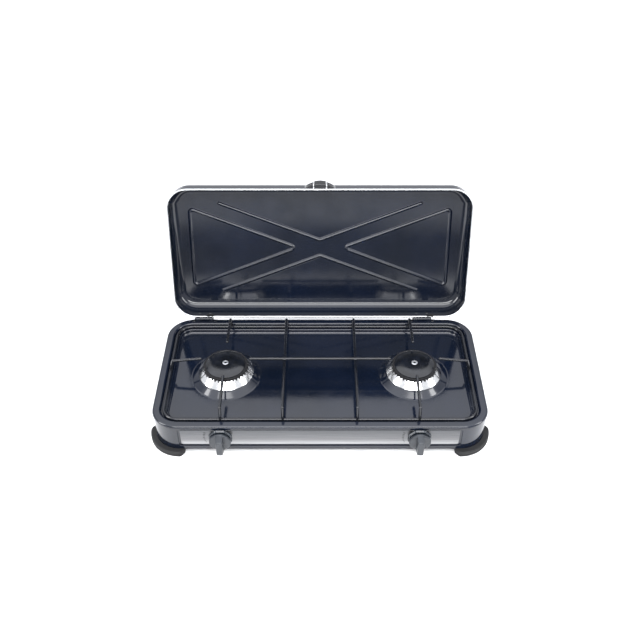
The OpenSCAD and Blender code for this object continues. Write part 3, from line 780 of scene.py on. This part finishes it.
def make_grid():
    """Three lots of wire: the ring, the bars and the fingers, with the weld at each joint."""
    ring_r = (ring_high.z - ring_low.z) / 2
    ring_x, ring_y = ring_high.x - ring_r, ring_high.y - ring_r
    ring_z = (ring_low.z + ring_high.z) / 2
    pan_z = bars_high.z - BAR_R
    fingers_x = fingers_high.x - BAR_R
    leg_y = bars_high.y - BAR_R
    foot_z = ring_z + 1.6

    bm = bmesh.new()
    outline = rounded_ring(2 * ring_x, 2 * ring_y, CORNER_R - (BODY_W / 2 - ring_x), 0, 12)
    tube(bm, [(*p, ring_z) for p in outline], ring_r, closed=True)
    put("grid_ring_wire", bm, WIRE, "pan_grid", ["grid_ring"], sharp=60)

    bm = bmesh.new()
    for x in (-BAR_X, BAR_X):
        points = [(x, -leg_y, foot_z), (x, -leg_y, pan_z), (x, leg_y, pan_z), (x, leg_y, foot_z)]
        tube(bm, bend_path(points, WIRE_BEND), BAR_R)
        for s in (-1, 1):
            nugget(bm, (x, s * (leg_y - WELD_SINK), foot_z + WELD_RISE), BAR_WELD)
        nugget(bm, (x, 0, pan_z - 0.2), CROSS_WELD)
    reach = BURNER_X - FINGER_TIP
    tube(bm, [(-reach + 2, 0, pan_z), (reach - 2, 0, pan_z)], BAR_R - 0.1, round_ends=True)
    put("grid_bars_wire", bm, WIRE, "pan_grid", ["grid_bars"], sharp=60)

    bm = bmesh.new()
    low, high = Vector((0, 0, foot_z)), Vector((0, 0, pan_z))
    for s in SIDES.values():
        for way, out in (((0, -1), leg_y), ((0, 1), leg_y), ((s, 0), fingers_x - BURNER_X)):
            way = Vector((*way, 0))
            hub = Vector((s * BURNER_X, 0, 0))
            points = [hub + way * out + low, hub + way * out + high, hub + way * (FINGER_TIP + 1.8) + high]
            path = bend_path(points, WIRE_BEND)
            tube(bm, path, BAR_R)
            nugget(bm, path[-1], (BAR_R, BAR_R, BAR_R))
            nugget(bm, points[0] - way * WELD_SINK + Vector((0, 0, WELD_RISE)), FINGER_WELD)
    put("grid_fingers_wire", bm, WIRE, "pan_grid", ["grid_fingers"], sharp=60)


# ---- knobs ----


SKIRT_FRONT = 13.5
STEM_BOSS = 4
HUB_R = (5.5, 5.1, 3.1)
GRIP_HALF = 5.5


def make_knob(side, sign):
    """A round skirt with a grip bar across it, its pointer line and its keyed hub."""
    bm = bmesh.new()
    lever, front, back = knob_low.y, knob_low.y + SKIRT_FRONT, knob_high.y - STEM_BOSS
    axis = (sign * BURNER_X, 0, KNOB_Z)
    skirt = [
        (0, back),
        (KNOB_R - 0.2, back),
        (KNOB_R, front + 0.4),
        (KNOB_R - 2.4, front),
        (5, front - 0.5),
        (0, front - 0.5),
    ]
    turned(bm, filleted(skirt, [0.8, 1.6, 1.0, 0], 5), axis, 72, "Y")
    wide, end, bore = HUB_R
    hub = [
        (0, back - 0.1),
        (wide, back - 0.1),
        (wide, back + 3.6),
        (end, back + STEM_BOSS),
        (bore, back + STEM_BOSS),
        (bore, back - 1),
    ]
    turned(bm, hub, axis, 40, "Y")
    # the grip: a tapered bar, with round ends that follow the skirt
    cuts = (
        (front + 0.6, 0, 16.2),
        (front - 2, 0, 16.2),
        (lever + 2.4, 0.5, 14.2),
        (lever + 0.8, 1.0, 13.4),
        (lever + 0.15, 2.2, 12.2),
    )
    grip = []
    for y, narrow, reach in cuts:
        w = GRIP_HALF - narrow
        tip = math.degrees(math.asin(w / reach))
        outline = arc(0, 0, reach, 90 - tip, 90 + tip, 8) + arc(0, 0, reach, 270 - tip, 270 + tip, 8)
        grip.append([(sign * BURNER_X + x, y, KNOB_Z + z) for x, z in outline])
    made = loft(bm, grip)
    bm.faces.new(made[-1])
    bm.faces.new(made[0])
    # the pointer line
    x = sign * BURNER_X
    block(bm, (x - 0.6, lever, KNOB_Z + 6), (x + 0.6, lever + 0.6, KNOB_Z + 11.6))
    knob = f"knob_{side}"
    put(f"{knob}_moulding", bm, KNOB, knob, [knob], sharp=35, bevel=0.3)


BEZEL_FLATS = 8
BEZEL_FLAT_FROM = 14.4
BEZEL_FLAT_SHARE = 0.95


def make_bezel(side, sign):
    """A dished collar with eight flats round its rim."""
    bm = bmesh.new()
    low, high = bezel_low.y, bezel_high.y
    corners = [
        (STEM_HOLE_R, high),
        (18.5, high),
        (18.5, high - 1.6),
        (16.8, low),
        (14.6, low),
        (13.4, low + 1.6),
        (STEM_HOLE_R, low + 1.6),
    ]
    profile = filleted(corners, [0, 0.5, 0.8, 0.8, 0.5], 4)
    rings = turned(bm, profile, (sign * BURNER_X, 0, KNOB_Z), 120, "Y")
    bridge(bm, rings[0], rings[-1])
    hub = Vector((sign * BURNER_X, 0, KNOB_Z)) * MM
    step = 2 * math.pi / BEZEL_FLATS
    for v in {v for ring in rings for v in ring}:
        out = Vector((v.co.x - hub.x, 0, v.co.z - hub.z))
        if out.length > BEZEL_FLAT_FROM * MM:
            turn = (math.atan2(out.z, out.x) + step / 2) % step - step / 2
            flat = out.length * BEZEL_FLAT_SHARE / math.cos(turn)
            v.co += out.normalized() * (min(flat, out.length) - out.length)
    put(f"knob_bezel_{side}_ring", bm, BEZEL, "root", [f"knob_bezel_{side}"], sharp=35)


# ---- burners ----

FLAME_R = 35.0
COLLAR_HOLE_R = 29.3
COLLAR_SHEET = 0.8
TOOTH_COUNT = 38
TOOTH_WIDTH = 4.0
TOOTH_DROP = 2.5
TOOTH_REACH = 2.4
# the cap's dome: shares of its radius at each ring, and how late its curve falls
CAP_CUTS = (0.995, 0.98, 0.95, 0.9, 0.84, 0.77, 0.7, 0.6, 0.5, 0.4, 0.3, 0.2)
CAP_FALL = 5
CAP_EDGE = 0.9


def make_collar(side, hub):
    """The polished collar, spun from sheet."""
    bm = bmesh.new()
    top, inner_foot = COLLAR_TOP, COLLAR_R - 1.4
    outside = [
        (COLLAR_R, SEAT_Z),
        (COLLAR_R, SEAT_Z + 1.3),
        (FLAME_R + 0.2, top - 0.8),
        (FLAME_R - 1.4, top),
        (COLLAR_HOLE_R, top),
    ]
    inside = [
        (COLLAR_HOLE_R, top - COLLAR_SHEET),
        (FLAME_R - 1.8, top - COLLAR_SHEET),
        (inner_foot, SEAT_Z + 0.9),
        (inner_foot, SEAT_Z),
    ]
    profile = filleted(outside, [0.8, 1.2, 0.5], 5) + filleted(inside, [0.6, 0.6], 4)
    rings = turned(bm, profile, hub, 128)
    bridge(bm, rings[-1], rings[0])
    name = f"burner_collar_{side}"
    put(f"{name}_spun", bm, POLISH, "root", [name], sharp=40)


def make_flame_ring(side, hub):
    """The cast ring that the cap sits on, with pointed teeth that hang over the collar."""
    bm = bmesh.new()
    top, high = COLLAR_TOP, FLAME_TOP
    low = top - 3.9
    casting = [
        (20, low),
        (27.2, low),
        (27.2, top),
        (FLAME_R, top),
        (FLAME_R, high - 0.3),
        (FLAME_R - 0.3, high),
        (30, high),
        (30, top + 0.9),
        (20, top + 0.9),
    ]
    rings = turned(bm, casting, hub, 4 * TOOTH_COUNT)
    bridge(bm, rings[-1], rings[0])
    # a flame port is left between each two teeth
    half, tip, tip_z = TOOTH_WIDTH / 2, FLAME_R + TOOTH_REACH, top - TOOTH_DROP
    root_in, root_out = FLAME_R - 0.4, FLAME_R + 0.5
    inner = [(root_in, -half, high - 1.2), (root_in, half, high - 1.2), (tip, 0, tip_z)]
    outer = [(root_out, -half, high - 1.4), (root_out, half, high - 1.4), (tip + 0.7, 0, tip_z + 0.5)]
    for i in range(TOOTH_COUNT):
        turn = Matrix.Rotation(2 * math.pi * i / TOOTH_COUNT, 3, "Z")
        ends = [new_ring(bm, [turn @ Vector(p) + Vector(hub) for p in ring]) for ring in (inner, outer)]
        bridge(bm, *ends)
        bm.faces.new(ends[0])
        bm.faces.new(list(reversed(ends[1])))
    name = f"flame_ring_{side}"
    # the ring's nearly black colour is painted shade from the cap above
    put(f"{name}_toothed", bm, SHADE_DARK_CASTING, "root", [name], sharp=35)


def make_cap(side, hub):
    """The low dome that spreads the flame, over a spigot that centres it."""
    bm = bmesh.new()
    edge, crown = cap_low.z + 2.5, cap_high.z
    rise = crown - edge - CAP_EDGE
    dome = [(CAP_R * k, edge + CAP_EDGE + rise * (1 - k ** CAP_FALL)) for k in CAP_CUTS]
    corners = [(18, edge - 2.5), (19.5, edge), (CAP_R - 0.6, edge), (CAP_R, edge + 0.7), dome[0]]
    rim = filleted(corners, [0.8, 0.5, 0.4], 4)
    turned(bm, [(0, edge - 2.5)] + rim + dome[1:-1] + [(5, crown), (0, crown)], hub, 112)
    name = f"burner_cap_{side}"
    put(f"{name}_domed", bm, CAP, "root", [name], sharp=40)


def make_rivet(side, hub):
    """The hollow rivet in the middle of a cap."""
    bm = bmesh.new()
    crown = cap_high.z
    corners = [
        (2.0, crown - 5),
        (2.0, crown - 0.1),
        (4.9, crown - 0.1),
        (4.9, crown + 0.6),
        (3.6, crown + 1.1),
        (2.3, crown + 1.0),
        (2.2, crown - 0.6),
        (0, crown - 0.6),
    ]
    head = filleted(corners, [0, 0.1, 0.4, 0.4, 0.3, 0.2], 3)
    turned(bm, [(0, crown - 5)] + head, hub, 40)
    name = f"cap_screw_{side}"
    put(f"{name}_rivet", bm, ZINC, "root", [name], sharp=40)


def make_burner(side, sign):
    """One burner from its collar up to the rivet in its cap."""
    hub = (sign * BURNER_X, 0, 0)
    make_collar(side, hub)
    make_flame_ring(side, hub)
    make_cap(side, hub)
    make_rivet(side, hub)


# ---- lid, made shut and then swung open ----

BEAD_HALF = 3.2
BEAD_DEPTH = 2.2
BEAD_STEPS = 6
# corners of the pressed pattern: a wide V above and below, a triangle at each end
V_X, V_TOP, V_FOOT = 168, 79, 14
TRIANGLE = ((128, 35), (218, 70), (218, -70), (38.5, 0), (128, 35))


def offset_line(points, distance, closed=False):
    """A line moved sideways, mitred at its corners."""
    moved = []
    count = len(points)
    for i, p in enumerate(points):
        before = points[i - 1] if closed or i else None
        after = points[(i + 1) % count] if closed or i + 1 < count else None
        ways = [(p - before).normalized()] if before else []
        ways += [(after - p).normalized()] if after else []
        sides = [Vector((w.y, -w.x)) for w in ways]
        middle = sum(sides, Vector((0, 0))).normalized()
        moved.append(p + middle * distance / max(middle.dot(sides[0]), 0.3))
    return moved


def bead_outline(points, half):
    """Round an open line at a distance, with round ends."""
    first, last = (points[0] - points[1]).normalized(), (points[-1] - points[-2]).normalized()

    def end(p, way):
        return [p + Matrix.Rotation(math.radians(a - 90), 2) @ way * half for a in range(20, 161, 20)]

    back = list(reversed(offset_line(points, -half)))
    return offset_line(points, half) + end(points[-1], last) + back + end(points[0], first)


def bead_rings(outline_at):
    """Rings from a bead's edge to its crest, each with its depth."""
    rings = []
    for i in range(BEAD_STEPS + 1):
        share = i / BEAD_STEPS
        depth = BEAD_DEPTH * (0.5 - 0.5 * math.cos(math.pi * share))
        rings.append((outline_at(BEAD_HALF * (1 - share) + 0.01), depth))
    return rings


def add_bead(bm, outline_at, z):
    """Presses a bead's sloping side down from z. Gives back its rings of vertices."""
    rings = [[(p.x, p.y, z - depth) for p in ring] for ring, depth in bead_rings(outline_at)]
    return loft(bm, rings)


def make_lid():
    """The pressed lid with its beads, and its rolled hem."""
    bm = bmesh.new()
    top = LID_Z + LID_H
    section = filleted([(0, LID_Z + HEM_R), (0, top), (LID_FILLET + 4, top)], [LID_FILLET], 14)
    rings = [[(p.x, p.y + LID_Y, z) for p in rounded_ring(LID_W, LID_D, LID_R, u, 16)] for u, z in section]
    panel = loft(bm, rings)[-1]
    holes = []
    centre = Vector((0, LID_Y))
    for v in (-1, 1):
        line = filleted([(-V_X, v * V_TOP), (0, v * V_FOOT), (V_X, v * V_TOP)], [8], 6)
        line = [Vector(p) + centre for p in line]
        made = add_bead(bm, lambda half: bead_outline(line, half), top)
        fill(bm, made[-1])
        holes.append(made[0])
    for s in (-1, 1):
        corners = [(s * x, y) for x, y in TRIANGLE]
        line = [Vector(p) + centre for p in filleted(corners, [5, 5, 4], 5)][:-1]
        loops = []
        for way in (-1, 1):
            made = add_bead(bm, lambda half: offset_line(line, way * half, closed=True), top)
            length = sum((a.co - b.co).length for a, b in zip(made[0], made[0][1:]))
            loops.append((length, made))
        outer, inner = max(loops)[1], min(loops)[1]
        bridge(bm, outer[-1], inner[-1])
        holes.append(outer[0])
        fill(bm, inner[0])
    fill(bm, panel, *holes)
    swing_open(bm)
    up = Matrix.Rotation(-LID_OPEN, 3, "X") @ Vector((0, 0, 1))
    put("lid_pressing", bm, ENAMEL, "lid", ["lid_shell"], sheet=SHEET, up=up, sharp=50)

    bm = bmesh.new()
    inset = 2 * (HEM_R - HEM_OUT)
    outline = rounded_ring(LID_W - inset, LID_D - inset, LID_R - inset / 2, 0, 16)
    tube(bm, [(p.x, p.y + LID_Y, LID_Z + HEM_R) for p in outline], HEM_R, 12, closed=True)
    swing_open(bm)
    # the hem's bright steel is a painted highlight along the lid's edge
    put("lid_rolled_hem", bm, HEM, "lid", sharp=60)


GRIP_WIDTH = 50.0
GRIP_REACH = 10.0
# height and share of the grip's full reach, at each row up the wings and up the middle
WING_ROWS = (
    (64.4, 0.62), (66, 0.7), (69, 0.74), (73, 0.84),
    (76, 0.9), (78.4, 0.88), (79.6, 0.8), (80, 0.72),
)
MIDDLE_ROWS = (
    (64.4, 0.7), (66, 0.8), (69, 0.86), (73, 0.95),
    (76, 1.0), (78.4, 0.99), (79.6, 0.93), (80, 0.84),
)
# where the middle ends, a bright rib lies, and a wing begins and ends
MIDDLE_X = 9.4
RIB_X = (9.6, 11.4)
WING_X = (11.5, 24.8)
RIB_SHARE = 0.99


def make_handle():
    """A half-lens grip with a raised middle between two bright ribs, their bright metal partly a painted
    highlight for the glints along the middle's sides.
    """
    front = LID_BACK - LID_D - 0.05
    width, reach = GRIP_WIDTH, GRIP_REACH
    lens = (width * width / 4 + reach * reach) / (2 * reach)

    def lens_y(x, share=1.0):
        return front - max(reach - lens + math.sqrt(lens * lens - x * x), 0) * share

    def slab(bm, x0, x1, rows, steps):
        xs = [x0 + (x1 - x0) * i / steps for i in range(steps + 1)]
        rings = []
        for z, share in rows:
            rings.append([(x, lens_y(x, share), z) for x in xs] + [(x1, front, z), (x0, front, z)])
        made = loft(bm, rings)
        bm.faces.new(made[0])
        bm.faces.new(list(reversed(made[-1])))

    bm = bmesh.new()
    for side in (-1, 1):
        slab(bm, side * WING_X[0], side * WING_X[1], WING_ROWS, 12)
    swing_open(bm)
    put("lid_handle_wings", bm, HANDLE, "lid", ["lid_handle"], bevel=0.5, sharp=35)

    bm = bmesh.new()
    slab(bm, -MIDDLE_X, MIDDLE_X, MIDDLE_ROWS, 12)
    swing_open(bm)
    put("lid_handle_middle", bm, HANDLE, "lid", bevel=0.6, sharp=35)

    # the ribs take the hem's bright steel, partly a painted highlight
    bm = bmesh.new()
    for side in (-1, 1):
        rows = [(z, share * RIB_SHARE) for z, share in MIDDLE_ROWS]
        slab(bm, side * RIB_X[0], side * RIB_X[1], rows, 3)
    swing_open(bm)
    put("lid_handle_bright_ribs", bm, HEM, "lid", bevel=0.3, sharp=35)


# ---- the frame's own nodes keep their shape and take a finish ----

PLAIN_NODES = {
    "tap_body": BRASS,
    "tap_nut": BRASS,
    "tap_plug": BRASS,
    "tap_stem": BRASS,
    "injector": BRASS,
    "inlet_nipple": BRASS,
    "tap_spring": SPRING,
    "mixer_tube": ZINC,
    "burner_cup": ZINC,
    "base_straps": ZINC,
    "strap_screws": ZINC,
    "foot_screws": ZINC,
    "manifold_rail": ZINC,
    "supply_tube": ZINC,
    "inlet_nut": ZINC,
    "pipe_clips": ZINC,
    "handle_screws": ZINC,
    "leaf_rivets": CAP,
    "bracket_rivets": CAP,
    "hinge_pin": CAP,
    "hinge_leaf": ENAMEL,
    "hinge_bracket": ENAMEL,
    "lid_buffers": RUBBER,
    "scale_marks": INK,
}


def finish_nodes():
    """Gives each of the frame's plain nodes its finish."""
    for name, node in frame["nodes"].items():
        kind = name.removesuffix("_left").removesuffix("_right")
        if kind in PLAIN_NODES:
            for place in node.material_slots:
                place.link = "OBJECT"
                place.material = PLAIN_NODES[kind]


# ---- studio ----


CAMERA_LENS = 45.88
CAMERA_PLACE = (0, -0.949, 0.989)
CAMERA_TIP = 40.94
FLOOR_HALF_M = 6
PALE = "#f6f6f6"
GREY = "#4a4b4e"
# the grey card's front and back edge in metres, then where its grey begins and ends between them
CARD_Y = (-3.0, -0.35)
CARD_PALE = (0.15, 0.97)
CARD_GREY = (0.42, 0.88)
# how bright the dome is near the horizon and overhead, and the heights where it changes
DOME_GLOW = (0.95, 2.6)
DOME_UP = (0.62, 0.8)
# name, width and height, place, what it points at, and watts
LIGHTS = (
    ("softbox_front", (1.8, 0.7), (0, -1.15, 1.85), (0, 0.1, 0.12), 18),
    ("strip_front", (2.0, 0.35), (0, -1.7, 1.3), (0, 0.1, 0.12), 26),
    ("softbox_left", (0.5, 1.2), (-1.6, -0.5, 1.0), (0, 0, 0.05), 18),
    ("softbox_right", (0.4, 1.2), (1.6, -0.4, 1.0), (0, 0, 0.05), 14),
)


def lay_sheet(name, half_m, lift, material):
    """A flat square on the ground, lifted by a few millimetres."""
    bm = bmesh.new()
    raised = Matrix.Translation((0, 0, lift * MM))
    bmesh.ops.create_grid(bm, x_segments=2, y_segments=2, size=half_m, matrix=raised)
    mesh = bpy.data.meshes.new(name)
    bm.to_mesh(mesh)
    bm.free()
    mesh.materials.append(material)
    flat = bpy.data.objects.new(name, mesh)
    bpy.context.scene.collection.objects.link(flat)
    return flat


def make_studio():
    """The camera, the sheets on the ground, the dome and the lights."""
    scene = bpy.context.scene
    scene.view_settings.view_transform = "Standard"
    eye = bpy.data.cameras.new("camera")
    eye.lens, eye.sensor_width = CAMERA_LENS, 36
    camera = bpy.data.objects.new("camera", eye)
    camera.location = CAMERA_PLACE
    camera.rotation_euler = (math.radians(90 - CAMERA_TIP), 0, 0)
    scene.collection.objects.link(camera)
    scene.camera = camera

    # pale paper, and over it in front a grey card that only mirror reflections see
    paper = finish("pale_paper", roughness=0.9)[0]
    paper.node_tree.nodes["Principled BSDF"].inputs["Base Color"].default_value = linear(PALE)
    lay_sheet("studio_floor", FLOOR_HALF_M, 0, paper)
    card, tree, shader, place = finish("grey_card", roughness=0.9)
    along = add(tree, "ShaderNodeSeparateXYZ", {"Vector": place}).outputs["Y"]
    ramp = add(tree, "ShaderNodeValToRGB", {"Fac": between(tree, along, 0, 1, *CARD_Y)})
    stops = ramp.color_ramp.elements
    stops[0].position, stops[1].position = CARD_PALE
    stops[0].color = stops[1].color = linear(PALE)
    for where in CARD_GREY:
        stops.new(where).color = linear(GREY)
    colour(tree, shader, ramp.outputs["Color"])
    flag = lay_sheet("grey_card", FLOOR_HALF_M, 1, card)
    flag.visible_camera = flag.visible_diffuse = flag.visible_shadow = False

    # a soft dome that is brighter overhead
    world = bpy.data.worlds.new("studio")
    world.use_nodes = True
    sky = world.node_tree
    look = add(sky, "ShaderNodeTexCoord").outputs["Generated"]
    up = add(sky, "ShaderNodeSeparateXYZ", {"Vector": look})
    glow = between(sky, up.outputs["Z"], *DOME_GLOW, *DOME_UP)
    sky.nodes["Background"].inputs["Color"].default_value = linear("#f8faff")
    sky.links.new(glow, sky.nodes["Background"].inputs["Strength"])
    scene.world = world

    for name, size, place, aim, power in LIGHTS:
        lamp = bpy.data.lights.new(name, "AREA")
        lamp.shape, lamp.energy = "RECTANGLE", power
        lamp.size, lamp.size_y = size
        light = bpy.data.objects.new(name, lamp)
        light.location = place
        light.rotation_euler = (Vector(aim) - Vector(place)).to_track_quat("-Z", "Y").to_euler()
        scene.collection.objects.link(light)


make_studio()
make_hob_tray()
make_casing()
make_front_trim()
for corner, (sx, sy) in CORNERS.items():
    make_foot(f"foot_{corner}", sx, sy)
make_grid()
for side, sign in SIDES.items():
    make_knob(side, sign)
    make_bezel(side, sign)
    make_burner(side, sign)
make_lid()
make_handle()
finish_nodes()
